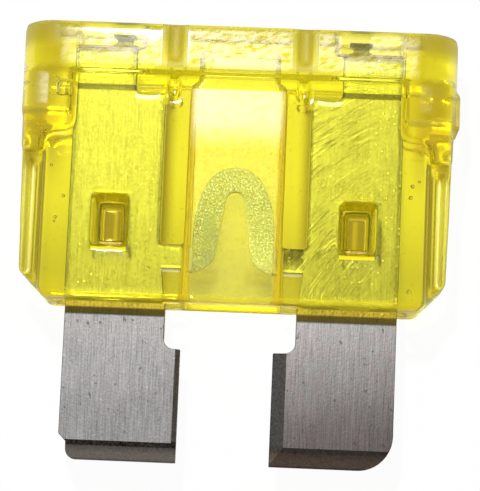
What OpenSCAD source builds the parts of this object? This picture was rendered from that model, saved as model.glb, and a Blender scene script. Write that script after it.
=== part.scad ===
// Plug-in blade fuse, regular size: a transparent moulded housing around one
// stamped fuse element.
// It lies on its back: X runs across the width, +Y from the blade tips to the
// head, +Z up through the thickness. The origin is the middle of the box around
// the part, on the plane it lies on. Depths are measured from the head's top.

/* [Overall] */
// Length from the head's top to the blade tips
overall_l = 18.95; // [17.8:0.05:20.5]
// Length of the housing, with its head
housing_l = 12.1; // [11.7:0.05:12.5]

/* [Head] */
// Width of the head
head_w = 19.12; // [18.5:0.05:20]
// Thickness of the head, front to back
head_t = 5.1; // [4.9:0.1:5.8]
// Height of the head
head_h = 2.15; // [1.7:0.05:2.3]
// Radius of the head's corners, seen from its top
head_corner_r = 1.8; // [0.6:0.1:2.2]
// Rounding along the head's top edges
head_edge_r = 0.25; // [0.1:0.05:0.5]
// Rounding along the head's lower edges, over the body's faces
ledge_r = 0.15; // [0.05:0.05:0.25]
// Width of the two upright grooves in each face of the head
groove_w = 0.6; // [0.4:0.02:0.8]
// Depth of those grooves
groove_d = 0.22; // [0.1:0.02:0.35]
// Length of those grooves, from the head's top
groove_l = 1.7; // [1:0.05:1.8]
// Distance from the middle to each groove
groove_x = 2.82; // [2.6:0.02:2.95]

/* [Test openings] */
// Width of each test opening in the head's top
probe_w = 3.2; // [3:0.1:3.6]
// Size of each test opening, front to back
probe_t = 1.5; // [1.2:0.1:2]
// Radius of the opening's corners
probe_r = 0.35; // [0.1:0.05:0.5]

/* [Body] */
// Thickness of the body
body_t = 3.9; // [3.7:0.1:4.2]
// Width of plastic outside each blade, at full thickness
column_w = 1.1; // [0.9:0.05:1.3]
// Rounding of the body's long edges
body_edge_r = 0.25; // [0.1:0.05:0.35]
// Rounding of the faces' bottom edges, beside the slot
mouth_edge_r = 0.4; // [0.2:0.05:0.6]

// Width of the short relief under the head, on each inner column
relief_w = 0.56; // [0.4:0.02:0.7]
// Length of that relief
relief_l = 1.0; // [0.7:0.05:1.2]
// Depth of that relief
relief_d = 0.28; // [0.1:0.02:0.35]
// Distance from the head's lower edge to that relief
relief_gap = 0.08; // [0.04:0.02:0.2]

/* [Side wings] */
// Width across the wings, where they leave the shoulders
wing_w = 18.95; // [18.75:0.05:19.1]
// Taper of each wing's outer edge, in degrees
wing_draft = 1.2; // [0:0.1:1.6]
// Thickness of the wings
wing_t = 2.7; // [2.4:0.1:3.2]
// Size of the cut across each bottom corner
corner_cut = 1.2; // [0.8:0.1:1.4]
// Rounding of the wings' outer edges
wing_edge_r = 0.35; // [0.1:0.05:0.6]
// Width of the long pocket in each face of a wing
pocket_w = 0.55; // [0.3:0.05:0.6]
// Depth of that pocket
pocket_d = 0.2; // [0.15:0.05:0.6]

/* [Shoulders] */
// Length of the shoulder blocks below the head
shoulder_l = 3.53; // [3.2:0.01:4]
// Thickness of the shoulder blocks
shoulder_t = 4.3; // [4.2:0.05:4.45]
// Length of the thicker band at the top of each block
band_l = 1.85; // [1.4:0.05:2]
// Thickness of that band
band_t = 4.7; // [4.6:0.05:4.8]
// Radius of the blocks' outer corners, seen from the head
shoulder_corner_r = 0.9; // [0.4:0.1:1.2]
// Radius of the arch in the block, over the outer column
arch_r = 0.8; // [0.6:0.05:0.95]
// How far that arch reaches out past the column
arch_lap = 0.12; // [0.05:0.01:0.2]
// Length of the straight leg below that arch
arch_leg = 0.3; // [0.1:0.05:0.5]
// Radius of the block's inner corner, above the arch
arch_corner_r = 0.3; // [0.1:0.05:0.32]
// How far the gate's pad stands out, on the right-hand shoulder
gate_out = 0.24; // [0.1:0.02:0.3]
// Length of that pad
gate_l = 1.76; // [1.4:0.02:1.8]
// Size of that pad, front to back
gate_t = 2.4; // [1.6:0.1:2.8]
// Rounding of the pad's edges
gate_r = 0.2; // [0.1:0.02:0.24]
// Distance from the head's lower edge to the pad
gate_gap = 0.16; // [0.04:0.02:0.3]

/* [Blades] */
// Thickness of the stamped sheet
sheet_t = 0.65; // [0.5:0.05:0.8]
// Width of each blade
blade_w = 5.12; // [4.9:0.02:5.3]
// Gap between the two blades
blade_gap = 4.26; // [4.16:0.02:4.5]
// Width of each blade's stem, where it leaves the housing
stem_w = 4.38; // [4.2:0.02:4.5]
// Width of each stem above the bridges
upper_w = 4.03; // [3.8:0.01:4.15]
// Length of bare stem between the housing and the blade's shoulder
neck_l = 1.9; // [1.5:0.1:2.3]
// Radius in the corner between the stem and the blade's shoulder
neck_r = 0.45; // [0.3:0.05:0.45]
// Length of the coined bevel at each blade tip
tip_bevel_l = 0.85; // [0.5:0.05:1.2]
// How far that bevel goes into each face
tip_bevel_d = 0.2; // [0.1:0.02:0.22]
// Width of the bevel on the left blade's inner edge
left_bevel_w = 0.2; // [0.1:0.05:0.7]
// Width of the bevel on the right blade's inner edge
right_bevel_w = 0.6; // [0.1:0.05:0.7]
// How far pressing that bevel has spread the right blade's inner edge
right_spread = 0.22; // [0:0.01:0.3]
// How far the inner edges' bevels go into each face
edge_bevel_d = 0.18; // [0.05:0.01:0.22]
// Size of the cut on the left blade's outer corner
left_corner = 0.32; // [0.2:0.02:0.5]
// Rounding of the left blade's outer corner, below that cut
left_corner_r = 0.45; // [0.2:0.05:0.6]
// Rounding of the right blade's outer corner
right_corner_r = 1.5; // [0.6:0.05:1.6]

/* [Test tabs] */
// Width of each tab in the head
tab_w = 2.7; // [2.4:0.05:2.9]
// Depth of the tab's end below the head's top
tab_depth = 0.93; // [0.7:0.01:1]
// Depth of the step where the tab widens to the stem
step_depth = 2.85; // [2.7:0.05:3.1]
// Radius in the corner of that step
step_r = 0.3; // [0.1:0.05:0.4]
// Width of the sheared strip stub on each tab's end, at its waist
stub_w = 0.62; // [0.5:0.02:0.8]
// Depth of the stub's end below the head's top
stub_depth = 0.22; // [0.2:0.02:0.4]
// Distance from the left tab's inner edge to its stub
left_stub_inset = 0.08; // [0.04:0.02:0.4]
// Distance from the right tab's inner edge to its stub
right_stub_inset = 0.24; // [0.04:0.02:0.4]
// Radius of the hollow in each side of the stub's waist
waist_r = 0.2; // [0.1:0.02:0.26]

/* [Stakes] */
// Width of the stake hole in each blade
stake_w = 1.2; // [1:0.05:1.4]
// Length of the stake hole
stake_l = 1.78; // [1.5:0.02:2]
// Distance from the blade's outer edge to the hole's middle
stake_inset = 1.88; // [1.6:0.02:2.1]
// Depth of the hole's middle below the head's top
stake_depth = 8.5; // [8:0.05:8.8]
// How much wider the dimple is at the housing's face, on each side
dimple_flare = 0.24; // [0.1:0.02:0.35]
// How much longer the dimple is at the housing's face, at its lower end
dimple_rise = 0.42; // [0.2:0.02:0.5]
// How far the dimple's floor lies below the blade's face
dimple_sink = 0.05; // [0.02:0.01:0.1]

/* [Link] */
// Thickness of the thinned link
link_t = 0.3; // [0.15:0.05:0.45]
// Depth of the link's outer arch below the head's top
link_depth = 5.88; // [5.6:0.02:6.2]
// Height of metal over the link's inner arch
link_h = 1.07; // [0.9:0.01:1.2]
// Half the link's width, outside its legs
link_out = 1.87; // [1.8:0.01:1.95]
// Radius of the inner arch
link_in_r = 0.42; // [0.3:0.02:0.5]
// Squareness of the outer arch, where 2 is an ellipse
link_square = 2.3; // [2:0.1:3]
// Radius of the rounded foot of each leg
foot_r = 1.15; // [1:0.05:1.2]
// How far each rounded foot laps over the bridge beside it
foot_lap = 0.1; // [0.04:0.02:0.2]
// Depth of the bridges' upper edge below the head's top
bridge_depth = 9.5; // [9.4:0.02:9.6]

/* [Chamber] */
// Width of the chamber around the link
chamber_w = 4.3; // [4:0.05:4.4]
// Width of the chamber's upper end, inside the head
chamber_top_w = 3.6; // [3.2:0.05:3.8]
// Depth of the chamber's upper end below the head's top
chamber_depth = 0.85; // [0.7:0.05:1.1]
// Size of the chamber at its mouth, front to back
chamber_t = 2.7; // [2.4:0.05:2.8]
// Taper of the chamber's front and back walls, in degrees
chamber_draft = 3.2; // [0:0.1:3.6]
// Radius in the chamber's corners
chamber_r = 0.3; // [0.1:0.05:0.4]

/* [Fit] */
// Clearance between the element and its slot, on each side
fit = 0.03; // [0.02:0.01:0.06]
// Size of the lead-in around the slot's mouth
lead_in = 0.28; // [0.1:0.02:0.35]

/* [Hidden] */
$fn = 48;

eps = 0.01;
y_top = overall_l / 2;
z_mid = head_t / 2;
y_mouth = y_top - housing_l;

// Across the width, measured from the middle
blade_in = blade_gap / 2;
blade_out = blade_in + blade_w;
stem_in = blade_out - stem_w;
upper_in = blade_out - upper_w;
tab_in = blade_out - tab_w;
tab_x = blade_out - tab_w / 2;
stake_x = blade_out - stake_inset;
column_out = blade_out + fit + column_w;
wing_out = wing_w / 2;

// Along the length, as depths below the head's top
shoulder_depth = head_h + shoulder_l;
band_depth = head_h + band_l;
lip_depth = housing_l + neck_l;
foot_depth = bridge_depth - foot_lap + foot_r;
wing_l = housing_l - head_h;
wing_foot = wing_out - wing_l * tan(wing_draft);

arch_out = column_out + arch_lap;
wing_rim = (wing_foot - column_out - pocket_w) / 2;
cut = 2 * overall_l;

// ---- Shared 2D helpers -------------------------------------------------

module both_sides() {
    children();
    mirror([1, 0, 0]) children();
}

// Rectangle from depth d1 down to depth d2, and from x1 to x2
module panel(x1, x2, d1, d2) {
    translate([x1, y_top - d2]) square([x2 - x1, d2 - d1]);
}

module round_rect(w, h, r) {
    square([w - 2 * r, h], center = true);
    square([w, h - 2 * r], center = true);
    for (x = [-1, 1], y = [-1, 1])
        translate([x * (w / 2 - r), y * (h / 2 - r)]) circle(r);
}

// Quarter round in the corner between two edges, to fill it or to cut it
module corner_fill(r) {
    difference() {
        translate([-eps, -eps]) square(r + eps);
        translate([r, r]) circle(r);
    }
}

// Extrude a face outline through the thickness t, about the middle plane
module plate(t) {
    translate([0, 0, z_mid - t / 2]) linear_extrude(t) children();
}

// Extrude a side view, drawn as (y, z), across the width w
module across(w, x = 0) {
    translate([x - w / 2, 0, 0]) rotate([90, 0, 90]) linear_extrude(w) children();
}

// Extrude a section, drawn as (x, z) about the middle, over a stretch of depths
module along(d1, d2) {
    translate([0, y_top - d1, z_mid]) rotate([90, 0, 0])
        linear_extrude(d2 - d1) children();
}

// ---- Fuse element ------------------------------------------------------

// Right-hand tab and stem, grown by g on every edge. The stem widens below the bridge.
module blade_outline(g = 0) {
    panel(tab_in - g, blade_out + g, tab_depth - g, step_depth + eps);
    panel(upper_in - g, blade_out + g, step_depth - g, lip_depth);
    polygon([[upper_in - g, y_top - bridge_depth], [stem_in - g, y_mouth],
             [stem_in - g, y_top - lip_depth - eps], [blade_out, y_top - lip_depth - eps]]);
    translate([tab_in - g, y_top - step_depth + g]) mirror([1, 0]) corner_fill(step_r);
}

module lower_blade(spread = 0) {
    panel(blade_in - spread, blade_out, lip_depth, overall_l);
    translate([stem_in, y_top - lip_depth]) mirror([1, 0]) corner_fill(neck_r);
}

// Bridge between a stem and the link's foot
module bridge_outline(g = 0, d2 = foot_depth) {
    panel(link_out - foot_lap, upper_in + eps, bridge_depth - g, d2);
}

// Waisted stub left where the stamping was sheared from its strip
module stub_outline(inset) {
    x_mid = tab_in + inset + waist_r + stub_w / 2;
    difference() {
        panel(x_mid - stub_w / 2 - waist_r, x_mid + stub_w / 2 + waist_r,
              stub_depth, tab_depth + eps);
        for (side = [-1, 1])
            translate([x_mid + side * (stub_w / 2 + waist_r), y_top - (stub_depth + tab_depth) / 2])
                circle(waist_r);
    }
}

// One corner of a blade tip, to be cut away: a chamfer, then a round below it
module left_tip_cut() {
    x = -blade_out;
    y = y_top - overall_l;
    r = left_corner_r;
    c = left_corner;
    polygon([[x - eps, y - eps], [x - eps, y + r + 2 * c], [x, y + r + 2 * c],
             [x + c, y + r + c], [x + c, y - eps]]);
    translate([x + c, y]) corner_fill(r);
}

module right_tip_cut() {
    translate([blade_out, y_top - overall_l]) mirror([1, 0]) corner_fill(right_corner_r);
}

// Half of the link: a superellipse outside, a round arch and a round foot inside
module link_half() {
    rise = bridge_depth + foot_lap - link_depth;
    y_spring = y_top - link_depth - rise;
    outer = [for (a = [90:-7.5:0])
        [link_out * pow(cos(a), 2 / link_square), y_spring + rise * pow(sin(a), 2 / link_square)]];
    y_foot = y_top - foot_depth + foot_r;
    foot = [for (a = [270:-9:180])
        [link_out + foot_r * cos(a), y_foot + foot_r * sin(a)]];
    y_arch = y_top - link_depth - link_h - link_in_r;
    arch = [for (a = [0:15:90])
        [link_in_r * cos(a), y_arch + link_in_r * sin(a)]];
    polygon(concat(outer, foot, arch));
}

// Wedge that bevels both faces of the tips
module tip_bevel(side) {
    z = z_mid + side * sheet_t / 2;
    y = y_top - overall_l;
    across(cut) polygon([[y - eps, z - side * tip_bevel_d], [y - eps, z + side],
                         [y + tip_bevel_l, z + side], [y + tip_bevel_l, z]]);
}

// Wedge that bevels a blade's inner edge, drawn about the middle
module edge_bevel(w, side, spread = 0) {
    x = blade_in - spread;
    z = side * sheet_t / 2;
    along(lip_depth - neck_r, overall_l + 1)
        polygon([[x - 1, z + side], [x - 1, z - side * edge_bevel_d * (1 + 1 / w)],
                 [x, z - side * edge_bevel_d], [x + w, z], [x + w, z + side]]);
}

module fuse_element() {
    color("silver") {
        difference() {
            plate(sheet_t) difference() {
                union() {
                    both_sides() {
                        blade_outline();
                        bridge_outline();
                    }
                    stub_outline(right_stub_inset);
                    mirror([1, 0]) stub_outline(left_stub_inset);
                    lower_blade(right_spread);
                    mirror([1, 0]) lower_blade();
                }
                both_sides() translate([stake_x, y_top - stake_depth])
                    square([stake_w, stake_l], center = true);
                left_tip_cut();
                right_tip_cut();
            }
            for (side = [-1, 1]) {
                tip_bevel(side);
                edge_bevel(right_bevel_w, side, right_spread);
                mirror([1, 0, 0]) edge_bevel(left_bevel_w, side);
            }
        }
        plate(link_t) both_sides() link_half();
    }
}

// ---- Housing -----------------------------------------------------------

module head() {
    intersection() {
        along(0, head_h) round_rect(head_w, head_t, head_corner_r);
        plate(head_t) difference() {
            panel(-head_w / 2, head_w / 2, 0, head_h);
            both_sides() translate([head_w / 2, y_top]) rotate(180) corner_fill(head_edge_r);
        }
        across(head_w) difference() {
            translate([y_top - head_h, 0]) square([head_h, head_t]);
            translate([y_top, 0]) mirror([1, 0]) corner_fill(head_edge_r);
            translate([y_top, head_t]) rotate(180) corner_fill(head_edge_r);
            translate([y_top - head_h, 0]) corner_fill(ledge_r);
            translate([y_top - head_h, head_t]) mirror([0, 1]) corner_fill(ledge_r);
        }
    }
}

// Front view of the body: tapered wings, with a cut across each bottom corner
module body_outline() {
    polygon([[-wing_out, y_top - head_h + eps], [-wing_foot, y_mouth + corner_cut],
             [-wing_foot + corner_cut, y_mouth], [wing_foot - corner_cut, y_mouth],
             [wing_foot, y_mouth + corner_cut], [wing_out, y_top - head_h + eps]]);
}

// Section of the body: a thick middle between two thin wings
module body_section() {
    round_rect(2 * column_out, body_t, body_edge_r);
    round_rect(wing_w, wing_t, wing_edge_r);
    for (x = [0, 1], y = [0, 1])
        mirror([x, 0]) mirror([0, y]) translate([column_out, wing_t / 2]) corner_fill(body_edge_r);
}

// Side view of the body, with its bottom edges rounded
module body_side() {
    difference() {
        translate([y_mouth, z_mid - body_t / 2]) square([wing_l + eps, body_t]);
        translate([y_mouth, z_mid - body_t / 2]) corner_fill(mouth_edge_r);
        translate([y_mouth, z_mid + body_t / 2]) mirror([0, 1]) corner_fill(mouth_edge_r);
    }
}

// Front view of a shoulder block, arched over the outer column
module shoulder_outline() {
    x_in = blade_out + fit;
    arch_depth = shoulder_depth - arch_leg;
    intersection() {
        body_outline();
        difference() {
            panel(x_in, wing_out, head_h - eps, shoulder_depth);
            translate([arch_out - arch_r, y_top - arch_depth]) circle(arch_r);
            panel(x_in - eps, arch_out - arch_r, arch_depth - arch_r, shoulder_depth + eps);
            panel(arch_out - 2 * arch_r, arch_out, arch_depth, shoulder_depth + eps);
            translate([x_in, y_top - arch_depth + arch_r]) corner_fill(arch_corner_r);
        }
    }
}

// The rounded pad that the mould's gate leaves on one side
module gate_pad() {
    w = wing_out - column_out;
    intersection() {
        plate(gate_t) translate([wing_out + gate_out - w / 2,
                                 y_top - head_h - gate_gap - gate_l / 2])
            round_rect(w, gate_l, gate_r);
        along(0, cut) translate([wing_out + gate_out - w / 2, 0])
            round_rect(w, gate_t, gate_r);
    }
}

module shoulder(t, w) {
    intersection() {
        plate(t) children();
        along(0, shoulder_depth) round_rect(w, t, shoulder_corner_r);
    }
}

module shoulders() {
    both_sides() {
        shoulder(shoulder_t, wing_w) shoulder_outline();
        shoulder(band_t, wing_w) panel(blade_out + fit, wing_out, head_h - eps, band_depth);
    }
}

// Long pockets in both faces of each wing
module wing_pockets() {
    x = column_out + wing_rim;
    r = pocket_w / 2;
    top = shoulder_depth + 2 * wing_rim + r;
    bottom = housing_l - corner_cut;
    both_sides() for (side = [-1, 1])
        translate([0, 0, z_mid + side * (wing_t / 2 - pocket_d) + (side < 0 ? -1 : 0)])
            linear_extrude(1) {
                panel(x, x + pocket_w, top, bottom);
                for (d = [top, bottom]) translate([x + r, y_top - d]) circle(r);
            }
}

// Everything the element needs to slide in from below, grown by the clearance
module slot_outline() {
    both_sides() {
        difference() {
            union() {
                blade_outline(fit);
                panel(0, blade_out + fit, bridge_depth - fit, housing_l + 1);
                panel(upper_in - fit, blade_out + fit, step_depth, housing_l + 1);
            }
            translate([stake_x, y_top - stake_depth])
                square([stake_w - 2 * fit, stake_l - 2 * fit], center = true);
        }
    }
}

// Flared mouth of the slot
module slot_mouth() {
    t = sheet_t / 2 + fit;
    across(2 * (blade_out + fit + lead_in))
        polygon([[y_mouth - eps, z_mid - t - lead_in], [y_mouth - eps, z_mid + t + lead_in],
                 [y_mouth, z_mid + t + lead_in], [y_mouth + lead_in, z_mid + t],
                 [y_mouth + lead_in, z_mid - t], [y_mouth, z_mid - t - lead_in]]);
}

// One tapered wall of the chamber, as a tilted prism with rounded corners
module chamber_prism(side) {
    h = housing_l - chamber_depth;
    deep = 2 * chamber_t;
    translate([0, y_mouth, z_mid]) rotate([-side * chamber_draft, 0, 0])
        translate([0, h + 1, 0]) rotate([90, 0, 0]) linear_extrude(h + 2)
            translate([0, side * (chamber_t - deep) / 2]) round_rect(chamber_w, deep, chamber_r);
}

// Front view of the chamber, narrower where it enters the head
module chamber_outline() {
    panel(-chamber_w / 2, chamber_w / 2, head_h + chamber_r, housing_l + 1);
    panel(-chamber_top_w / 2, chamber_top_w / 2, chamber_depth, head_h + 2 * chamber_r);
    polygon([[-chamber_w / 2, y_top - head_h - chamber_r], [-chamber_top_w / 2, y_top - head_h],
             [chamber_top_w / 2, y_top - head_h], [chamber_w / 2, y_top - head_h - chamber_r]]);
}

module chamber() {
    intersection() {
        plate(cut) difference() {
            chamber_outline();
            both_sides() translate([chamber_top_w / 2, y_top - chamber_depth]) rotate(180)
                corner_fill(chamber_r);
        }
        chamber_prism(1);
        chamber_prism(-1);
    }
}

module probe_opening() {
    x_mid = blade_out - probe_w / 2 + fit;
    along(-1, tab_depth + fit) translate([x_mid, 0]) round_rect(probe_w, probe_t, probe_r);
}

// Tapered dimple that the staking punch leaves over a blade's hole
module dimple(side) {
    depth = body_t / 2 - sheet_t / 2 + dimple_sink;
    w = stake_w / 2 - fit;
    l = stake_l / 2 - fit;
    y = y_top - stake_depth - (dimple_rise - dimple_flare) / 2;
    z1 = z_mid + side * (body_t / 2 - depth);
    z2 = z_mid + side * (body_t / 2 + eps);
    intersection() {
        across(cut) polygon([[y - l, z1], [y + l, z1], [y + l + dimple_flare, z2],
                             [y - l - dimple_rise, z2]]);
        along(0, cut) translate([stake_x, -z_mid])
            polygon([[-w, z1], [w, z1], [w + dimple_flare, z2], [-w - dimple_flare, z2]]);
    }
}

module face_grooves() {
    x = groove_x;
    both_sides() for (side = [-1, 1])
        translate([0, 0, z_mid + side * (head_t / 2 - groove_d) + (side < 0 ? -1 : 0)])
            linear_extrude(1) {
                panel(x - groove_w / 2, x + groove_w / 2, -1, groove_l - groove_w / 2);
                translate([x, y_top - groove_l + groove_w / 2]) circle(groove_w / 2);
            }
}

// Round-ended reliefs in the body's faces, on the inner columns
module column_reliefs() {
    r = relief_w / 2;
    d = head_h + relief_gap;
    both_sides() for (side = [-1, 1])
        translate([groove_x, y_top - d - relief_l / 2,
                   z_mid + side * (body_t / 2 - relief_d) + (side < 0 ? -1 : 0)])
            linear_extrude(1) round_rect(relief_w, relief_l, r - eps);
}

module housing() {
    color([1, 0.88, 0.05, 0.6]) difference() {
        union() {
            head();
            intersection() {
                plate(body_t) body_outline();
                along(head_h - eps, housing_l) body_section();
                across(wing_w) body_side();
            }
            shoulders();
            gate_pad();
        }
        plate(sheet_t + 2 * fit) slot_outline();
        slot_mouth();
        chamber();
        wing_pockets();
        face_grooves();
        column_reliefs();
        both_sides() {
            probe_opening();
            for (side = [-1, 1]) dimple(side);
        }
    }
}

housing();
fuse_element();
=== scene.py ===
"""Looks of a regular blade fuse: clear moulded plastic around one zinc stamping.

Everything is in metres in the part's own frame: X across the width, +Y from the
blade tips to the head, +Z through the thickness. The part lies on its back.
"""
import math
from types import SimpleNamespace

import bmesh
import bpy
import numpy as np
from bpy.props import FloatProperty, FloatVectorProperty, IntProperty, PointerProperty
from mathutils import Matrix, Vector


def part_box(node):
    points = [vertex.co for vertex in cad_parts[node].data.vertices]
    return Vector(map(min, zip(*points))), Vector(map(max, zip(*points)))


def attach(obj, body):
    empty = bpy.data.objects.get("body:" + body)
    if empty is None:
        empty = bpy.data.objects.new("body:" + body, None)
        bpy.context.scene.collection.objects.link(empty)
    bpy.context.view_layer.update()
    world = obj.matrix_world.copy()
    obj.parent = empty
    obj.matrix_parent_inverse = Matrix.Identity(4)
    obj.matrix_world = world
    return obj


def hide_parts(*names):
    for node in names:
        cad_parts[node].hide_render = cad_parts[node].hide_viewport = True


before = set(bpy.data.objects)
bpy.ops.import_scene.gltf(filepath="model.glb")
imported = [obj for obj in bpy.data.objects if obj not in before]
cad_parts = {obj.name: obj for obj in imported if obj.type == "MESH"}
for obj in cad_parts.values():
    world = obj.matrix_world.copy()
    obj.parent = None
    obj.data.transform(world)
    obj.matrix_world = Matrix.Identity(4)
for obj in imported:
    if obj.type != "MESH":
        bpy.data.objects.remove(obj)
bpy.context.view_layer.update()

bl_info = {
    "name": "Blade fuse",
    "version": (1, 0, 0),
    "blender": (4, 5, 0),
    "location": "3D View > Sidebar > Fuse",
    "description": "Clear moulded housing, rolled zinc element and a plain pale stage",
    "category": "Object",
}

MM = 0.001
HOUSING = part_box("housing")
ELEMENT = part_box("fuse_element")
Z_MIDDLE = ((HOUSING[0] + HOUSING[1]) / 2).z
Z_SHEET = (ELEMENT[0].z + ELEMENT[1].z) / 2
SHEET_HALF = (ELEMENT[1].z - ELEMENT[0].z) / 2

# Y of the head's top and of the housing's open end, in millimetres
TOP = HOUSING[1].y / MM
MOUTH = HOUSING[0].y / MM

# Distance over which a mask's edge usually fades, in millimetres
CRISP = 0.05

# A face whose normal's Z is beyond LEVEL is level or a bevel beside a level face, beyond
# SHEET_FACE it's a face of the stamping's sheet, and beyond FLAT it's no bevel
LEVEL = 0.85
SHEET_FACE = 0.99
FLAT = 0.999

# How close a face lies to the sheet's surface, and how far the link's own edges reach from
# the part's middle and from the sheet's middle plane
TOUCHING = 0.01 * MM
LINK_SIDE = 1.9 * MM
LINK_DEPTH = 0.2 * MM

# Where small bubbles may lie, in millimetres: distance from the middle, Y and Z
AIR_SIDE = (7.45, 8.25)
AIR_Y = (-1.8, 3.4)
AIR_Z = (3.4, 4.2)

# Point at the part's middle height that the camera looks at
AIM = (0.283 * MM, 0.183 * MM)

WHITE = (1.0, 1.0, 1.0, 1.0)


# ---- Node trees ------------------------------------------------------------


class Wire:
    """One output socket; Python's operators on it add Math nodes."""

    def __init__(self, graph, socket):
        self.graph = graph
        self.socket = socket

    def math(self, operation, *others):
        values = {i + 1: v for i, v in enumerate(others)}
        return self.graph.node("Math", {0: self, **values}, operation=operation)

    def __add__(self, other):
        return self.math("ADD", other)

    def __sub__(self, other):
        return self.math("SUBTRACT", other)

    def __mul__(self, other):
        return self.math("MULTIPLY", other)

    def __rsub__(self, other):
        return self.graph.node("Math", {0: other, 1: self}, operation="SUBTRACT")

    __radd__ = __add__
    __rmul__ = __mul__

    def size(self):
        return self.math("ABSOLUTE")

    def ramp(self, none, full):
        """Smooth step from 0 at the first value to 1 at the second, which may be the lower."""
        start, end = sorted((none, full))
        first, last = (0.0, 1.0) if none < full else (1.0, 0.0)
        return self.graph.node(
            "MapRange", {"Value": self, 1: start, 2: end, 3: first, 4: last},
            interpolation_type="SMOOTHSTEP",
        )

    def between(self, low, high, soft):
        """1 from low to high, falling to 0 within soft outside them."""
        return self.ramp(low - soft, low) * self.ramp(high + soft, high)


class Graph:
    """A material's or a world's node tree."""

    def __init__(self, owner):
        owner.use_nodes = True
        self.tree = owner.node_tree
        self.tree.nodes.clear()
        self.count = 0

    def node(self, kind, inputs=None, output=0, **settings):
        """Any node: its type, the values or wires of its inputs, and its own settings."""
        made = self.tree.nodes.new("ShaderNode" + kind)
        self.count += 1
        made.location = (180 * (self.count % 12), -220 * (self.count // 12))
        for key, value in settings.items():
            setattr(made, key, value)
        for key, value in (inputs or {}).items():
            socket = made.inputs[key]
            if isinstance(value, Wire):
                self.tree.links.new(value.socket, socket)
            else:
                socket.default_value = value
        return Wire(self, made.outputs[output]) if made.outputs else None

    def place(self):
        """Object coordinates in millimetres: the vector, and its x, y and z."""
        at = self.node("TexCoord", output="Object")
        scaled = self.node("VectorMath", {0: at, 1: (1 / MM,) * 3}, operation="MULTIPLY")
        parts = [self.node("SeparateXYZ", {0: scaled}, output=i) for i in range(3)]
        return scaled, *parts

    def stretch(self, vector, factors):
        return self.node("VectorMath", {0: vector, 1: factors}, operation="MULTIPLY")

    def noise(self, vector, scale, detail=2.0, roughness=0.5):
        return self.node("TexNoise", {
            "Vector": vector, "Scale": scale, "Detail": detail, "Roughness": roughness,
        })

    def mix(self, factor, first, second, blend="MIX"):
        """Colour between first and second."""
        return self.node(
            "Mix", {0: factor, 6: first, 7: second}, output=2,
            data_type="RGBA", blend_type=blend,
        )

    def layered(self, colour, layers):
        """Colours laid over the first, each as far as its mask goes."""
        for mask, over in layers:
            colour = self.mix(mask, colour, rgb(over))
        return colour

    def shade(self, colour, tone):
        """Colour times a number that varies over the surface."""
        grey = self.node("CombineColor", {0: tone, 1: tone, 2: tone})
        return self.mix(1.0, colour, grey, blend="MULTIPLY")

    def bump(self, height, distance, normal=None):
        inputs = {"Strength": 1.0, "Distance": distance, "Height": height}
        if normal is not None:
            inputs["Normal"] = normal
        return self.node("Bump", inputs)

    def surface(self, shader, volume=None):
        self.node("OutputMaterial", {0: shader, **({1: volume} if volume else {})})


def rgb(colour):
    """Opaque colour of a shader's socket."""
    return (*colour[:3], 1.0)


# ---- Sizes and colours -----------------------------------------------------


class FuseHousingSettings(bpy.types.PropertyGroup):
    """Moulded plastic."""

    grid: FloatProperty(
        name="Surface grid", description="Spacing of the moulded surface's vertices",
        default=0.115 * MM, unit="LENGTH",
    )
    softness: IntProperty(
        name="Edge softness", description="Smoothing passes that round the moulded edges",
        default=4,
    )
    ior: FloatProperty(
        name="Refractive index", description="Refractive index of the plastic", default=1.58
    )
    roughness: FloatProperty(
        name="Roughness", description="Roughness of the moulded surface", default=0.05
    )
    absorption: FloatVectorProperty(
        name="Absorption", description="Share of red, green and blue lost per millimetre",
        default=(0.022, 0.042, 0.56), size=3,
    )
    haze: FloatProperty(
        name="Haze", description="Share of the light that the plastic scatters", default=0.05
    )


class FuseAirSettings(bpy.types.PropertyGroup):
    """Air trapped in the moulding."""

    count: IntProperty(name="Bubbles", description="Number of small bubbles", default=8)
    size: FloatProperty(
        name="Bubble size", description="Diameter of the largest small bubble",
        default=0.26 * MM, unit="LENGTH",
    )
    seed: IntProperty(name="Seed", description="Where the small bubbles fall", default=3)


class FuseElementSettings(bpy.types.PropertyGroup):
    """Rolled zinc sheet."""

    edge: FloatProperty(
        name="Edge rounding", description="Width of the rounding on sheared edges",
        default=0.035 * MM, unit="LENGTH",
    )
    bare: FloatVectorProperty(
        name="Bare zinc", description="Colour of the blades outside the housing",
        default=(0.20, 0.195, 0.19), subtype="COLOR",
    )
    covered: FloatVectorProperty(
        name="Covered zinc", description="Colour of the sheet inside the housing",
        default=(0.165, 0.174, 0.164), subtype="COLOR",
    )
    edges: FloatVectorProperty(
        name="Sheared edges", description="Colour of the sheared edges and bevels",
        default=(0.085, 0.078, 0.072), subtype="COLOR",
    )
    link: FloatVectorProperty(
        name="Thinned link", description="Colour of the etched link",
        default=(0.19, 0.215, 0.21), subtype="COLOR",
    )


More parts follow.
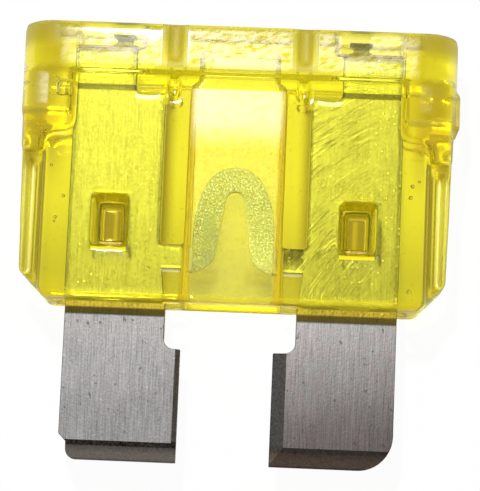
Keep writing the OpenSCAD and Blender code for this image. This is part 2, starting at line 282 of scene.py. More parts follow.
class FuseStageSettings(bpy.types.PropertyGroup):
    """Floor, lamps and camera."""

    floor: FloatVectorProperty(
        name="Floor", description="Colour of the floor", default=(0.95, 0.95, 0.95),
        subtype="COLOR",
    )
    world: FloatProperty(
        name="World light", description="Brightness of the light from all round", default=0.32
    )
    world_through: FloatProperty(
        name="World light through plastic",
        description="Light from all round that is added where it's seen through the plastic",
        default=0.33,
    )
    lamp_height: FloatProperty(
        name="Lamp height", description="Height of the lamp above the floor",
        default=100 * MM, unit="LENGTH",
    )
    lamp_back: FloatProperty(
        name="Lamp offset", description="How far the lamp stands towards the head's side",
        default=37 * MM, unit="LENGTH",
    )
    lamp_left: FloatProperty(
        name="Lamp shift", description="How far the lamp stands to the left",
        default=12 * MM, unit="LENGTH",
    )
    lamp_size: FloatProperty(
        name="Lamp size", description="Diameter of the lamp", default=6 * MM, unit="LENGTH"
    )
    lamp_power: FloatProperty(
        name="Lamp power", description="Power of the lamp in watts", default=0.085
    )
    lens: FloatProperty(
        name="Lens", description="Focal length for a 36 mm wide sensor", default=168.0
    )
    distance: FloatProperty(
        name="Camera distance", description="Distance from the camera to its target",
        default=98.5 * MM, unit="LENGTH",
    )
    tilt: FloatProperty(
        name="Camera tilt", description="How far the view leans towards the blades",
        default=math.radians(8.5), subtype="ANGLE",
    )
    swing: FloatProperty(
        name="Camera swing", description="How far the view comes from the right",
        default=math.radians(1.2), subtype="ANGLE",
    )
    roll: FloatProperty(
        name="Camera roll", description="How far the camera is turned about its view",
        default=math.radians(2.4), subtype="ANGLE",
    )


# ---- Materials -------------------------------------------------------------


def moulded_zones(x, y, z, side):
    """Masks of the moulding's features, 0 to 1, which the plastic's finish and its painted shade
    follow.

    Spans are in millimetres. Those of side count from the middle, on both halves.
    """
    head_face = z.ramp(4.6, 4.7)
    shoulder_side = side.ramp(7.3, 7.5)
    foot_corners = side.ramp(6.9, 7.4) * y.ramp(MOUTH + 1.4, MOUTH + 0.4) * 0.4
    return SimpleNamespace(
        groove=side.between(2.54, 3.10, CRISP) * y.ramp(7.7, 7.8) * head_face,
        groove_floor=side.between(2.46, 3.14, 0.03),
        lips=side.between(2.28, 3.40, CRISP) * y.ramp(7.45, 7.55) * head_face,
        reliefs=side.between(2.40, 3.25, CRISP) * y.between(6.0, 7.25, CRISP) * z.ramp(4.0, 4.1),
        corners=side.ramp(7.65, 8.2) * y.ramp(7.7, 8.9),
        top=y.ramp(TOP - 0.24, TOP - 0.12),
        back=z.ramp(0.3, 0.05),
        mouth=y.ramp(MOUTH + 0.38, MOUTH + 0.2),
        plugs=side.between(4.75, 6.0, 0.2) * y.between(-0.2, 2.1, 0.2),
        wings=side.ramp(8.35, 8.5) * y.ramp(4.1, 3.8),
        ledge=y.between(7.15, 7.45, CRISP) * z.ramp(4.3, 4.4),
        band=shoulder_side * y.between(4.5, 6.3, 0.15) * z.ramp(4.6, 4.4),
        band_edge=shoulder_side * y.between(5.36, 5.62, 0.04),
        under_band=side.ramp(7.6, 7.8) * y.between(4.4, 5.5, 0.1),
        right_band=x.ramp(7.4, 7.6) * y.between(5.6, 7.2, 0.1),
        chamber_walls=side.between(1.80, 2.18, 0.04) * y.ramp(6.9, 6.7) * z.ramp(3.0, 3.2),
        feet=foot_corners.math("MAXIMUM", y.ramp(MOUTH + 0.42, MOUTH + 0.22)),
        pane=side.ramp(1.9, 1.7) * y.ramp(6.7, 6.5) * z.ramp(4.40, 4.45),
        dimple_rims=side.between(4.62, 6.10, CRISP) * y.between(-0.52, -0.38, CRISP)
        * z.ramp(4.2, 4.3),
    )


def worn_share(g, x, y, z, side, zone):
    """Where the front is scuffed, dull or catches the light: 0 to 1."""
    diagonal = g.node("CombineXYZ", {0: x * 0.8 + y * 0.5, 1: y * 2.2 - x * 0.8, 2: z})
    streaks = g.noise(diagonal, 2.4, detail=7.0, roughness=0.78)
    over_stubs = side.between(4.45, 5.55, 0.15) * y.ramp(8.25, 8.4)
    to_the_right = x.ramp(-7.0, 1.0) * 0.55 + 0.45
    upper_left = y.ramp(8.5, 9.1) * x.ramp(-1.0, -5.0)
    scuffs = streaks.ramp(0.38, 0.58) * (1.0 - over_stubs * 0.8) * to_the_right
    scuffs = scuffs * (1.0 - upper_left * 0.45)
    over_chamber = x.between(-1.10, 1.65, CRISP) * y.between(7.44, 7.97, CRISP)
    ends = side.between(7.35, 7.62, 0.06) * streaks.ramp(0.25, 0.6) * 0.3
    marks = scuffs.math("MAXIMUM", over_chamber * 0.9).math("MAXIMUM", ends)
    head = z.ramp(5.0, 5.07) * side.ramp(7.9, 7.6) * (1.0 - zone.lips) * marks
    ragged = (streaks - 0.5) * 1.6 + y
    chamber = z.between(4.44, 4.56, CRISP) * side.ramp(2.1, 1.8) * ragged.ramp(4.0, 5.6)
    left_band = x.between(-9.5, -8.35, 0.12) * y.between(5.8, 7.1, 0.12)
    right_band = x.between(7.9, 8.35, 0.1) * y.between(6.0, 7.1, 0.12)
    bands = (left_band + right_band * 0.3) * z.ramp(3.6, 4.0) * streaks.ramp(0.2, 0.7)
    bow = y - (side - 4.0) * (side - 4.0) * 0.3
    step_glints = bow.between(6.17, 6.30, 0.04) * side.between(3.45, 4.5, CRISP)
    bridge_glints = side.between(2.25, 3.0, CRISP) * y.between(-1.36, -1.26, 0.03)
    front = z.ramp(4.2, 4.4)
    worn = head + chamber * y.ramp(6.76, 6.68) + bands * 0.8
    return worn + step_glints * front + bridge_glints * front * 0.7


def plastic_tint(g, at, y, side, zone):
    """Colour that the surface adds to the light passing it, over the plastic's own: dust specks,
    and painted shade in the groove, at the head's corners, in the plugs, low in the chamber and
    under the link's feet.
    """
    specks = g.noise(at, 7.0, detail=1.0).ramp(0.72, 0.77)
    dust = g.noise(at, 5.0, detail=2.0).ramp(0.69, 0.74) * zone.pane
    link_feet_shadow = zone.pane * side.between(0.75, 1.7, 0.3) * y.between(-1.75, -1.3, 0.2)
    layers = (
        (zone.mouth, (1.0, 0.84, 0.25)),
        # painted shade: the groove, the dimples' plugs and the head's corners darkened
        (zone.groove, (0.80, 0.68, 0.30)),
        (zone.plugs, (0.97, 0.88, 0.30)),
        (zone.corners, (0.86, 0.80, 0.50)),
        (zone.under_band, (0.84, 0.74, 0.45)),
        (zone.right_band, (0.80, 0.74, 0.30)),
        (specks.math("MAXIMUM", dust) * 0.7, (0.45, 0.38, 0.12)),
        # painted shade: the chamber darker towards its bottom, and the shadow of the link's feet
        (zone.pane * y.ramp(3.6, 1.0), (0.89, 0.90, 0.60)),
        (link_feet_shadow, (0.70, 0.66, 0.40)),
    )
    return g.layered(WHITE, layers)


def haze_and_painted_shade(g, zone):
    """The plastic's cloudiness, yellow; the amber by the chamber and the brown in the grooves
    and along the bands' step are painted shade.
    """
    yellow, amber, brown = [
        g.node("BsdfDiffuse", {"Color": rgb(colour)})
        for colour in ((1.0, 0.88, 0.02), (0.95, 0.72, 0.02), (0.50, 0.43, 0.06))
    ]
    # amber by the chamber walls and brown along the groove and the bands' step: painted shade
    haze = g.node("MixShader", {0: zone.chamber_walls, 1: yellow, 2: amber})
    dark = zone.lips.math("MAXIMUM", zone.band_edge)
    return g.node("MixShader", {0: dark, 1: haze, 2: brown})


def haze_share(g, at, side, zone, everywhere):
    """How much of the surface shows the haze and not the clear plastic."""
    mottle = g.noise(at, 2.4, detail=5.0, roughness=0.75).ramp(0.42, 0.72) * zone.pane
    relief_edges = zone.reliefs * side.ramp(3.0, 3.1) * 0.4
    rims = zone.dimple_rims.math("MAXIMUM", relief_edges)
    share = zone.lips * zone.groove_floor * 0.45 + zone.band_edge * 0.3
    share = share + zone.ledge * side.ramp(3.9, 3.6) * 0.25 + zone.chamber_walls * 0.15
    return share + zone.feet * 0.35 + rims * 0.8 + mottle * 0.25 + everywhere


def shadow_light(g, zone):
    """What a lamp's light meets: nearly open, but shut where the surface is steep."""
    steep = g.node("LayerWeight", {"Blend": 0.5}, output="Facing").ramp(0.42, 0.62)
    steep = steep * (1.0 - zone.plugs.math("MAXIMUM", zone.ledge))
    open_way = g.node("BsdfTransparent", {"Color": (0.97, 0.97, 0.97, 1)})
    shut_way = g.node("Emission", {"Color": (0, 0, 0, 1), "Strength": 0.0})
    return g.node("MixShader", {0: steep, 1: open_way, 2: shut_way})


def absorption(g, lost):
    """Volume that takes the given shares of red, green and blue in each millimetre."""
    losses = [-math.log(1 - share) / MM for share in lost]
    # A little denser than the strongest loss, so that no channel is zero
    density = max(losses) * 1.002
    colour = [1 - loss / density for loss in losses]
    return g.node("VolumeAbsorption", {"Color": rgb(colour), "Density": density})


def plastic(settings):
    """Clear yellow plastic, with faint moulding ripple, haze, worn places and painted shade."""
    material = bpy.data.materials.new("clear_yellow_plastic")
    g = Graph(material)
    at, x, y, z = g.place()
    side = x.size()
    zone = moulded_zones(x, y, z, side)
    ripple = g.noise(g.stretch(at, (1.0, 0.45, 1.0)), 0.9, detail=1.0)
    orange_peel = g.noise(at, 5.0, detail=2.0)
    normal = g.bump(ripple, 0.010 * MM)
    normal = g.bump(orange_peel, 0.0012 * MM, normal)
    dull = zone.top.math("MAXIMUM", zone.back * 0.5)
    rough = dull * 0.45 + zone.lips * 0.45 + zone.wings * 0.25 + zone.corners * 0.4
    rough = rough + zone.band_edge * 0.3 + zone.band * 0.2 + settings.roughness
    glass = g.node("BsdfPrincipled", {
        "Base Color": plastic_tint(g, at, y, side, zone), "Transmission Weight": 1.0,
        "IOR": settings.ior, "Roughness": rough, "Normal": normal,
        "Coat Weight": worn_share(g, x, y, z, side, zone), "Coat Roughness": 0.42,
        "Coat IOR": 1.9,
    })
    share = haze_share(g, at, side, zone, settings.haze)
    body = g.node("MixShader", {0: share, 1: glass, 2: haze_and_painted_shade(g, zone)})
    from_lamp = g.node("LightPath", output="Is Shadow Ray")
    shader = g.node("MixShader", {0: from_lamp, 1: body, 2: shadow_light(g, zone)})
    g.surface(shader, absorption(g, settings.absorption))
    return material


def arcs(g, x, y):
    """Fine scrapes along arcs about one centre, as a tool leaves them: 0 to 1."""
    across = x - 13.4
    along = y + 7.8
    radius = (across * across + along * along).math("POWER", 0.5)
    angle = along.math("ARCTAN2", across)
    polar = g.node("CombineXYZ", {0: radius, 1: angle * 0.5, 2: 0.0})
    lines = g.noise(polar, 12.0, detail=3.0).ramp(0.53, 0.61)
    patches = g.noise(polar, 1.1, detail=1.0).ramp(0.30, 0.48)
    return lines * patches


def droplets(g, at, x):
    """Small round beads trapped against the sheet, in loose clusters: 0 to 1."""
    flat = g.stretch(at, (1.0, 1.0, 0.0))
    cells = {"Vector": flat, "Scale": 3.6, "Randomness": 1.0}
    near = g.node("TexVoronoi", cells, voronoi_dimensions="2D")
    tint = g.node("TexVoronoi", cells, output="Color", voronoi_dimensions="2D")
    chance = g.node("SeparateColor", {0: tint})
    clusters = g.noise(flat, 0.55, detail=1.0)
    kept = (chance * 0.5 + clusters + x.ramp(4.5, 6.8) * 0.14).ramp(0.98, 1.06)
    return near.ramp(0.26, 0.10) * kept


def zinc(settings):
    """Rolled zinc faces: grain along the blades, brighter where the housing covers them; the
    colours in and outside the housing are painted light and shade.
    """
    material = bpy.data.materials.new("rolled_zinc")
    g = Graph(material)
    at, x, y, z = g.place()
    side = x.size()
    right = x.ramp(0.0, 1.0)
    inside = y.ramp(MOUTH - 0.35, MOUTH + 0.15)
    outside = 1.0 - inside
    grain = g.noise(g.stretch(at, (12.0, 0.45, 12.0)), 1.9, detail=4.0, roughness=0.65)
    cloud = g.noise(at, 0.55, detail=3.0)
    fleck = g.noise(g.stretch(at, (1.0, 0.7, 1.0)), 13.0, detail=2.0, roughness=0.6)
    beads = droplets(g, at, x) * inside
    scrapes = arcs(g, x, y) * x.ramp(6.6, 4.6) * x.ramp(2.0, 2.6) * inside
    colour = zinc_stains_and_shade(g, settings, at, x, y, z, side, inside, outside)
    lower_inside_shade = y.ramp(2.5, -2.0) * inside
    near_tips = right * outside * y.ramp(-8.0, -6.0)
    step_highlight = side.between(3.35, 4.45, 0.1) * y.between(6.40, 6.60, 0.04)
    right_tab = y.ramp(6.95, 7.05) * right
    bridges = side.between(2.15, 3.05, 0.08)
    right_bridge_shade = bridges * right * y.ramp(-1.0, -0.4) * y.ramp(0.1, 0.0)
    bridge_foot_glint = bridges * y.between(-1.2, -0.97, CRISP)
    # painted light and shade in the tone: the beads' extra brightness, the step's lit edge and
    # the bridges' feet are painted highlights, and the covered sheet's lower part and the right
    # bridge get painted shade
    tone = (grain - 0.5) * 1.5 + (cloud - 0.5) * 0.4 + (fleck - 0.5) * (inside * 0.9 + 0.4) + 1.0
    tone = tone + beads * 1.2 + scrapes * 0.8 - lower_inside_shade * 0.13 + near_tips * 0.16
    tone = tone + step_highlight * 0.7 + right_tab * 0.18 - right_bridge_shade * 0.75 + bridge_foot_glint * 1.0
    normal = g.bump(grain, 0.006 * MM)
    normal = g.bump(fleck, 0.004 * MM, normal)
    normal = g.bump(scrapes, 0.018 * MM, normal)
    normal = g.bump(beads, 0.010 * MM, normal)
    g.surface(g.node("BsdfPrincipled", {
        "Base Color": g.shade(colour, tone), "Metallic": 1.0,
        "Roughness": 0.44 + (cloud - 0.5) * 0.12, "Normal": normal,
    }))
    return material


def zinc_stains_and_shade(g, settings, at, x, y, z, side, inside, outside):
    """The sheet's colour before its grain: covered or bare, with painted shade and shadows, pits
    and stains.
    """
    # painted shade: the bare blades darker towards the lower right
    shaded = [c * share for c, share in zip(settings.bare, (0.52, 0.47, 0.46))]
    lower_right = y.ramp(-2.5, -9.3) * x.ramp(-1.0, 1.0)
    bare = g.mix(lower_right, rgb(settings.bare), rgb(shaded))
    # painted shadows of the head's ledge on the tabs and of the housing's mouth on the blades,
    # and painted shade over the stubs' ends
    ledge_shadow = y.between(6.77, 6.99, 0.04) * side.ramp(4.4, 4.5) * inside
    mouth_shadow = y.between(-3.05, -2.6, CRISP)
    stub_shade = y.ramp(8.45, 8.6)
    specks = g.noise(at, 4.5, detail=3.0, roughness=0.7).ramp(0.66, 0.72) * outside
    pits = g.noise(g.stretch(at, (1.3, 0.8, 1.0)), 4.0, detail=2.0).ramp(0.325, 0.285) * outside
    sills = side.between(4.55, 6.2, CRISP) * y.between(-0.3, 0.1, CRISP) * z.ramp(2.8, 2.86)
    warm = g.noise(at, 1.6, detail=4.0, roughness=0.7).ramp(0.42, 0.62) * outside
    warm = warm * (x.ramp(-1.0, 1.0) * 0.7 + 0.1)
    colour = g.layered(bare, (
        # painted light and shade: the sheet under the housing has a colour of its own, set for
        # how the light reaches it there
        (inside, settings.covered),
        (ledge_shadow * 0.93, (0.02, 0.02, 0.015)),
        (mouth_shadow * 0.9, (0.27, 0.212, 0.045)),
        (stub_shade, (0.07, 0.07, 0.075)),
        (specks * x.ramp(0.0, -1.0) * 0.6, (0.42, 0.42, 0.42)),
        (pits * 0.7, (0.06, 0.055, 0.05)),
    ))
    colour = g.mix(warm, colour, (1.06, 0.97, 0.99, 1), blend="MULTIPLY")
    return g.mix(sills * 0.8, colour, (0.30, 0.21, 0.02, 1))


def sheared(settings):
    """Sheared edges and coined bevels: dark, with marks across the sheet, and painted shade and
    light at the tip bevels.
    """
    material = bpy.data.materials.new("sheared_zinc")
    g = Graph(material)
    at, x, y, _ = g.place()
    marks = g.noise(g.stretch(at, (6.0, 6.0, 0.8)), 1.5, detail=3.0)
    browner_tip = [c * share for c, share in zip(settings.edges, (1.35, 1.08, 0.92))]
    left = x.ramp(1.0, -1.0)
    holes = x.size().between(4.5, 6.3, 0.1) * y.between(-0.4, 0.6, 0.1)
    right_tip = x.ramp(0.0, 1.0) * y.ramp(-8.6, -8.9)
    inner_bevel = x.between(1.0, 1.98, 0.02) * y.ramp(-8.7, -8.4)
    colour = g.layered(rgb(settings.edges), (
        (left, (0.17, 0.15, 0.13)),
        (y.ramp(MOUTH - 0.2, MOUTH), (0.20, 0.20, 0.16)),
        (holes, (0.10, 0.07, 0.01)),
        (right_tip, browner_tip),
        (inner_bevel * y.ramp(-3.6, -5.0), (0.135, 0.135, 0.155)),
    ))
    # painted shade along the tip bevels' crease and painted light on the bevels below it
    tips = left * 0.45 + 0.25
    tone = (marks - 0.5) * 1.2 + 1.0 - y.between(-8.82, -8.6, 0.06) * tips
    tone = tone + y.ramp(-8.85, -9.2) * (tips + 0.4) * 0.6
    tone = tone - inner_bevel * x.ramp(1.62, 1.80) * 0.45 - y.ramp(-9.38, -9.43) * 0.6
    g.surface(g.node("BsdfPrincipled", {
        "Base Color": g.shade(colour, tone), "Metallic": 1.0, "Roughness": 0.42,
        "Normal": g.bump(marks, 0.006 * MM),
    }))
    return material


def etched(settings):
    """The thinned link: frosted and grainy, with painted highlights on its side walls and a
    painted bluish sheen on one patch.
    """
    material = bpy.data.materials.new("etched_zinc")
    g = Graph(material)
    at, x, y, _ = g.place()
    grains = g.noise(at, 13.0, detail=3.0, roughness=0.7)
    cloud = g.noise(at, 0.8, detail=2.0)
    legs = y.ramp(3.0, 0.2)
    left_leg = legs * x.ramp(0.6, -0.6)
    right_leg = legs * x.ramp(-0.2, 0.6)
    smooth_sheen_patch = x.between(-1.3, -0.85, 0.15) * y.between(-0.4, 1.3, 0.6)
    facing = g.node("NewGeometry", output="Normal")
    rim_highlight = g.node("SeparateXYZ", {0: facing}, output=2).size().ramp(0.97, 0.80)
    speckle = (grains - 0.5) * 4.2 + grains.ramp(0.54, 0.64) * 0.9
    tone = speckle * (1.0 - smooth_sheen_patch * 0.6) + (cloud - 0.5) * 0.5 + 0.87
    tone = tone - left_leg * 0.2 - smooth_sheen_patch * 0.08 + right_leg * 0.2
    colour = g.shade(rgb(settings.link), tone)
    # painted sheen: the smooth patch turned bluish
    colour = g.mix(smooth_sheen_patch * 0.7, colour, (0.94, 1.02, 1.12, 1), blend="MULTIPLY")
    # painted highlight: the link's side walls made paler
    colour = g.mix(rim_highlight * y.ramp(3.2, 2.0), colour, (0.75, 0.78, 0.66, 1))
    g.surface(g.node("BsdfPrincipled", {
        "Base Color": colour, "Metallic": 0.6, "Roughness": 0.55,
        "Normal": g.bump(grains, 0.020 * MM),
    }))
    return material


def trapped_air(settings):
    """Air inside the plastic: bends light the other way round."""
    material = bpy.data.materials.new("trapped_air")
    g = Graph(material)
    glass = g.node("BsdfPrincipled", {
        "Base Color": WHITE, "Transmission Weight": 1.0, "Roughness": 0.0,
        "IOR": 1.0 / settings.ior,
    })
    clear = g.node("BsdfTransparent")
    from_lamp = g.node("LightPath", output="Is Shadow Ray")
    g.surface(g.node("MixShader", {0: from_lamp, 1: glass, 2: clear}))
    return material


def pale_floor(settings):
    """Pale floor that looks white, and shaded under the housing where it's seen through it."""
    material = bpy.data.materials.new("pale_floor")
    g = Graph(material)
    by_camera, by_gloss, by_glass = [
        g.node("LightPath", output=name)
        for name in ("Is Camera Ray", "Is Glossy Ray", "Is Transmission Ray")
    ]
    _, x, y, _ = g.place()
    side = x.size()
    under = side.ramp(9.9, 8.9) * y.ramp(-3.0, -2.3)
    blades = side.ramp(2.6, 3.4) * side.ramp(7.6, 7.0) * y.ramp(8.0, 6.5)
    shoulders = side.ramp(7.4, 8.6) * y.ramp(2.0, 4.5)
    bridges = side.between(1.2, 3.2, 0.5) * y.between(-1.8, -1.3, 0.5)
    # painted light and shade seen through the housing: a pool brighter towards the head, darker
    # shoulders, and the link bridges' shadow
    shaded = g.mix(y.ramp(-2.5, 4.0), (0.60, 0.58, 0.36, 1), (1.05, 1.03, 0.60, 1))
    shaded = g.layered(shaded, (
        (shoulders, (0.58, 0.51, 0.36)),
        (bridges * 0.45, (0.38, 0.34, 0.16)),
    ))
    # painted shadow of the blades, seen through the plugs, lighter in their middle
    plug_middle = side.between(5.34, 5.38, 0.2) * y.between(0.2, 1.8, 0.3)
    shadow_under_plugs = g.mix(plug_middle, (0.31, 0.245, 0.0, 1), (0.56, 0.47, 0.0, 1))
    through = g.mix(blades * under, g.mix(under, WHITE, shaded), shadow_under_plugs)
    matt = g.node("BsdfDiffuse", {"Color": rgb(settings.floor)})
    bright = g.node("Emission", {"Color": g.mix(by_glass, WHITE, through), "Strength": 1.0})
    share = by_camera * 0.96 + by_gloss * 0.35 + by_glass * (blades * 0.08 + 0.92)
    g.surface(g.node("MixShader", {0: share, 1: matt, 2: bright}))
    material.cycles.emission_sampling = "NONE"
    return material


# ---- Meshes ----------------------------------------------------------------


def grid_faces(rows, columns, closed_rows):
    """Quads between the rows of a grid whose columns close into rings."""
    last = rows if closed_rows else rows - 1
    r, c = np.meshgrid(np.arange(last), np.arange(columns), indexing="ij")
    r2, c2 = (r + 1) % rows, (c + 1) % columns
    quads = [r * columns + c, r * columns + c2, r2 * columns + c2, r2 * columns + c]
    return np.stack([q.ravel() for q in quads], axis=1)


def ring(centre, radii, tube, rows=48, columns=12):
    """Oval ring: p = (a cos u (1 + t cos v / a), b sin u (1 + t cos v / b), t sin v)."""
    u = np.linspace(0, 2 * np.pi, rows, endpoint=False)[:, None]
    v = np.linspace(0, 2 * np.pi, columns, endpoint=False)[None, :]
    a, b = radii
    points = np.stack([
        np.cos(u) * (a + tube * np.cos(v)),
        np.sin(u) * (b + tube * np.cos(v)),
        tube * np.sin(v) + 0 * u,
    ], axis=-1).reshape(-1, 3)
    return points + np.array(centre), [grid_faces(rows, columns, True)]


def pebble(centre, radii, squareness=2.0, rows=14, columns=20):
    """Superellipsoid: each of x, y, z is r |s|^(2/n) with the sign of s on the unit sphere."""
    cap = 0.06
    u = np.linspace(cap, np.pi - cap, rows)[:, None]
    v = np.linspace(0, 2 * np.pi, columns, endpoint=False)[None, :]
    unit = np.stack([np.sin(u) * np.cos(v), np.sin(u) * np.sin(v), np.cos(u) + 0 * v], axis=-1)
    shape = np.sign(unit) * np.abs(unit) ** (2 / squareness)
    points = (shape * np.array(radii)).reshape(-1, 3)
    around = np.arange(columns)
    ends = np.stack([around, (around + (rows - 1) * columns)[::-1]])
    return points + np.array(centre), [grid_faces(rows, columns, False)[:, ::-1], ends]


def add_piece(name, mesh):
    piece = bpy.data.objects.new(name, mesh)
    bpy.context.scene.collection.objects.link(piece)
    return piece


def joined_surfaces(name, surfaces):
    """One mesh from closed surfaces: each has its points in millimetres and arrays of faces."""
    points, faces, start = [], [], 0
    for its_points, blocks in surfaces:
        points.append(its_points)
        for block in blocks:
            faces += (block + start).tolist()
        start += len(its_points)
    mesh = bpy.data.meshes.new(name)
    mesh.from_pydata((np.concatenate(points) * MM).tolist(), [], faces)
    shape = bmesh.new()
    shape.from_mesh(mesh)
    bmesh.ops.recalc_face_normals(shape, faces=shape.faces)
    shape.to_mesh(mesh)
    shape.free()
    mesh.shade_smooth()
    return add_piece(name, mesh)


def joined_copy(node, name, merge=0.0005 * MM):
    """Copy of a CAD node with its loose triangles joined into whole faces.

    Bevels beside level faces are shaded flat, and the creases between them stay sharp.
    """
    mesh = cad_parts[node].data.copy()
    mesh.name = name
    mesh.materials.clear()
    shape = bmesh.new()
    shape.from_mesh(mesh)
    bmesh.ops.remove_doubles(shape, verts=shape.verts, dist=merge)
    bmesh.ops.dissolve_limit(
        shape, angle_limit=math.radians(0.6), verts=shape.verts, edges=shape.edges
    )
    for face in shape.faces:
        face.smooth = not LEVEL < abs(face.normal.z) < FLAT
    for edge in shape.edges:
        level = all(abs(face.normal.z) > LEVEL for face in edge.link_faces)
        edge.smooth = not (level and edge.calc_face_angle(0.0) > math.radians(5))
    shape.to_mesh(mesh)
    shape.free()
    return add_piece(name, mesh)


def mould(piece, grid, passes):
    """Lay one even grid over the whole surface and smooth it, which rounds every edge."""
    even = piece.modifiers.new("even_grid", "REMESH")
    even.mode = "VOXEL"
    even.voxel_size = grid
    even.use_smooth_shade = True
    soft = piece.modifiers.new("soft_edges", "SMOOTH")
    soft.factor = 0.5
    soft.iterations = passes


def round_edges(piece, width, angle):
    """Bevel every edge sharper than the angle, with flat faces kept flat in their shading."""
    bevel = piece.modifiers.new("edges", "BEVEL")
    bevel.width = width
    bevel.segments = 2
    bevel.limit_method = "ANGLE"
    bevel.angle_limit = angle
    bevel.use_clamp_overlap = False
    flat = piece.modifiers.new("flat_faces", "WEIGHTED_NORMAL")
    flat.mode = "FACE_AREA"
    flat.weight = 100
    flat.thresh = 10.0
    flat.keep_sharp = True


# ---- Operators -------------------------------------------------------------


class FUSE_OT_housing(bpy.types.Operator):
    """Dress the moulded housing"""

    bl_idname = "fuse.housing"
    bl_label = "Housing"

    def execute(self, context):
        settings = context.scene.fuse_housing
        piece = joined_copy("housing", "moulded_housing")
        piece.data.materials.append(plastic(settings))
        mould(piece, settings.grid, settings.softness)
        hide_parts("housing")
        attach(piece, "root")
        return {"FINISHED"}


class FUSE_OT_air(bpy.types.Operator):
    """Put the moulding's trapped air inside the plastic"""

    bl_idname = "fuse.air"
    bl_label = "Trapped air"

    def execute(self, context):
        settings = context.scene.fuse_air
        chance = np.random.default_rng(settings.seed)
        surfaces = [
            ring((-8.07, 6.65, 4.38), (0.26, 0.42), 0.035),
            pebble((-7.72, 6.60, 4.10), (0.30, 0.40, 0.20), 2.8),
        ]
        for _ in range(settings.count):
            half = chance.choice((-1, 1))
            x = half * chance.uniform(*AIR_SIDE)
            y = chance.uniform(*AIR_Y)
            r = settings.size / MM * chance.uniform(0.4, 1.0) / 2
            z = chance.uniform(*AIR_Z)
            surfaces.append(pebble((x, y, z), (r, r, r)))
        piece = joined_surfaces("trapped_air", surfaces)
        piece.data.materials.append(trapped_air(context.scene.fuse_housing))
        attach(piece, "root")
        return {"FINISHED"}


class FUSE_OT_element(bpy.types.Operator):
    """Dress the stamped fuse element"""

    bl_idname = "fuse.element"
    bl_label = "Fuse element"

    def execute(self, context):
        settings = context.scene.fuse_element
        piece = joined_copy("fuse_element", "stamped_element", 0.015 * MM)
        for material in (zinc(settings), sheared(settings), etched(settings)):
            piece.data.materials.append(material)
        for face in piece.data.polygons:
            face.material_index = self.finish(face)
        round_edges(piece, settings.edge, math.radians(30))
        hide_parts("fuse_element")
        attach(piece, "root")
        return {"FINISHED"}

    def finish(self, face):
        """Slot of a face's material: 0 rolled, 1 sheared or coined, 2 the thinned link."""
        level = abs(face.normal.z) > SHEET_FACE
        depth = abs(face.center.z - Z_SHEET)
        if level and abs(depth - SHEET_HALF) < TOUCHING:
            return 0
        beside_link = abs(face.center.x) < LINK_SIDE and depth < LINK_DEPTH
        return 2 if level or beside_link else 1


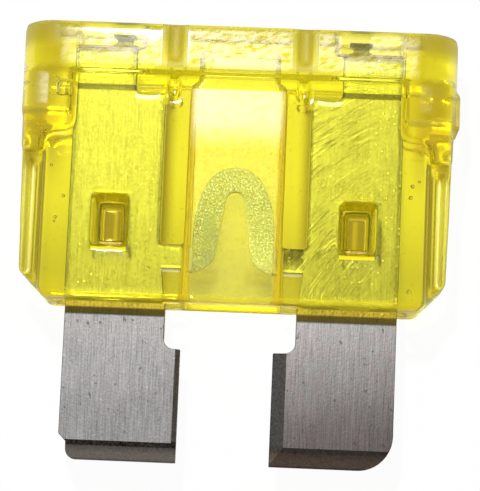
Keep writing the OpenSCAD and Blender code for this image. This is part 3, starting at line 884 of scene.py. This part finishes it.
class FUSE_OT_stage(bpy.types.Operator):
    """Make the floor, the light and the camera"""

    bl_idname = "fuse.stage"
    bl_label = "Stage"

    def execute(self, context):
        settings = context.scene.fuse_stage
        self.floor(context, settings)
        self.light(context, settings)
        self.camera(context, settings)
        return {"FINISHED"}

    def floor(self, context, settings):
        """One wide square, just under the part."""
        half = 400 * MM
        drop = 0.02 * MM
        mesh = bpy.data.meshes.new("floor")
        corners = [(-half, -half, 0), (half, -half, 0), (half, half, 0), (-half, half, 0)]
        mesh.from_pydata(corners, [], [(0, 1, 2, 3)])
        floor = bpy.data.objects.new("floor", mesh)
        floor.location.z = -drop
        context.scene.collection.objects.link(floor)
        mesh.materials.append(pale_floor(settings))

    def light(self, context, settings):
        """Even light from all round, and one small round lamp behind the head."""
        world = bpy.data.worlds.new("studio")
        context.scene.world = world
        g = Graph(world)
        through = g.node("LightPath", output="Is Transmission Ray")
        strength = through * settings.world_through + settings.world
        sky = g.node("Background", {"Color": (1, 1, 1, 1), "Strength": strength})
        g.node("OutputWorld", {0: sky})
        world.cycles.sampling_method = "NONE"
        data = bpy.data.lights.new("lamp", "AREA")
        data.shape = "DISK"
        data.size = settings.lamp_size
        data.energy = settings.lamp_power
        lamp = bpy.data.objects.new("lamp", data)
        place = Vector((-settings.lamp_left, settings.lamp_back, settings.lamp_height))
        aim = Vector((0, 0, Z_MIDDLE)) - place
        turn = aim.to_track_quat("-Z", "Y").to_matrix().to_4x4()
        lamp.matrix_world = Matrix.Translation(place) @ turn
        lamp.visible_transmission = False
        context.scene.collection.objects.link(lamp)

    def camera(self, context, settings):
        """Looks down on the part, leaning towards the blades, turned about the view."""
        target = Vector((*AIM, Z_MIDDLE))
        away = Vector((math.tan(settings.swing), -math.tan(settings.tilt), 1.0)).normalized()
        up = (Vector((0, 1, 0)) - away * away.y).normalized()
        right = up.cross(away)
        turn = Matrix.Rotation(settings.roll, 3, away)
        axes = Matrix((turn @ right, turn @ up, away)).transposed()
        data = bpy.data.cameras.new("camera")
        data.sensor_fit = "HORIZONTAL"
        data.sensor_width = 36.0
        data.lens = settings.lens
        data.clip_start = 5 * MM
        data.clip_end = 5.0
        camera = bpy.data.objects.new("camera", data)
        place = target + away * settings.distance
        camera.matrix_world = Matrix.Translation(place) @ axes.to_4x4()
        context.scene.collection.objects.link(camera)
        context.scene.camera = camera


class FUSE_PT_panel(bpy.types.Panel):
    """The fuse's pieces and stage"""

    bl_label = "Blade fuse"
    bl_idname = "FUSE_PT_panel"
    bl_space_type = "VIEW_3D"
    bl_region_type = "UI"
    bl_category = "Fuse"

    def draw(self, context):
        for operator, settings in STEPS:
            box = self.layout.box()
            box.operator(operator.bl_idname)
            group = getattr(context.scene, settings)
            for name in group.__annotations__:
                box.prop(group, name)


GROUPS = {
    "fuse_housing": FuseHousingSettings,
    "fuse_air": FuseAirSettings,
    "fuse_element": FuseElementSettings,
    "fuse_stage": FuseStageSettings,
}
STEPS = [
    (FUSE_OT_stage, "fuse_stage"),
    (FUSE_OT_element, "fuse_element"),
    (FUSE_OT_housing, "fuse_housing"),
    (FUSE_OT_air, "fuse_air"),
]


def register():
    for name, group in GROUPS.items():
        bpy.utils.register_class(group)
        setattr(bpy.types.Scene, name, PointerProperty(type=group))
    for operator, _ in STEPS:
        bpy.utils.register_class(operator)
    bpy.utils.register_class(FUSE_PT_panel)


def unregister():
    bpy.utils.unregister_class(FUSE_PT_panel)
    for operator, _ in reversed(STEPS):
        bpy.utils.unregister_class(operator)
    for name, group in reversed(GROUPS.items()):
        delattr(bpy.types.Scene, name)
        bpy.utils.unregister_class(group)


def main():
    register()
    bpy.context.scene.view_settings.view_transform = "Standard"
    bpy.ops.fuse.stage()
    bpy.ops.fuse.element()
    bpy.ops.fuse.housing()
    bpy.ops.fuse.air()


if __name__ == "__main__":
    main()
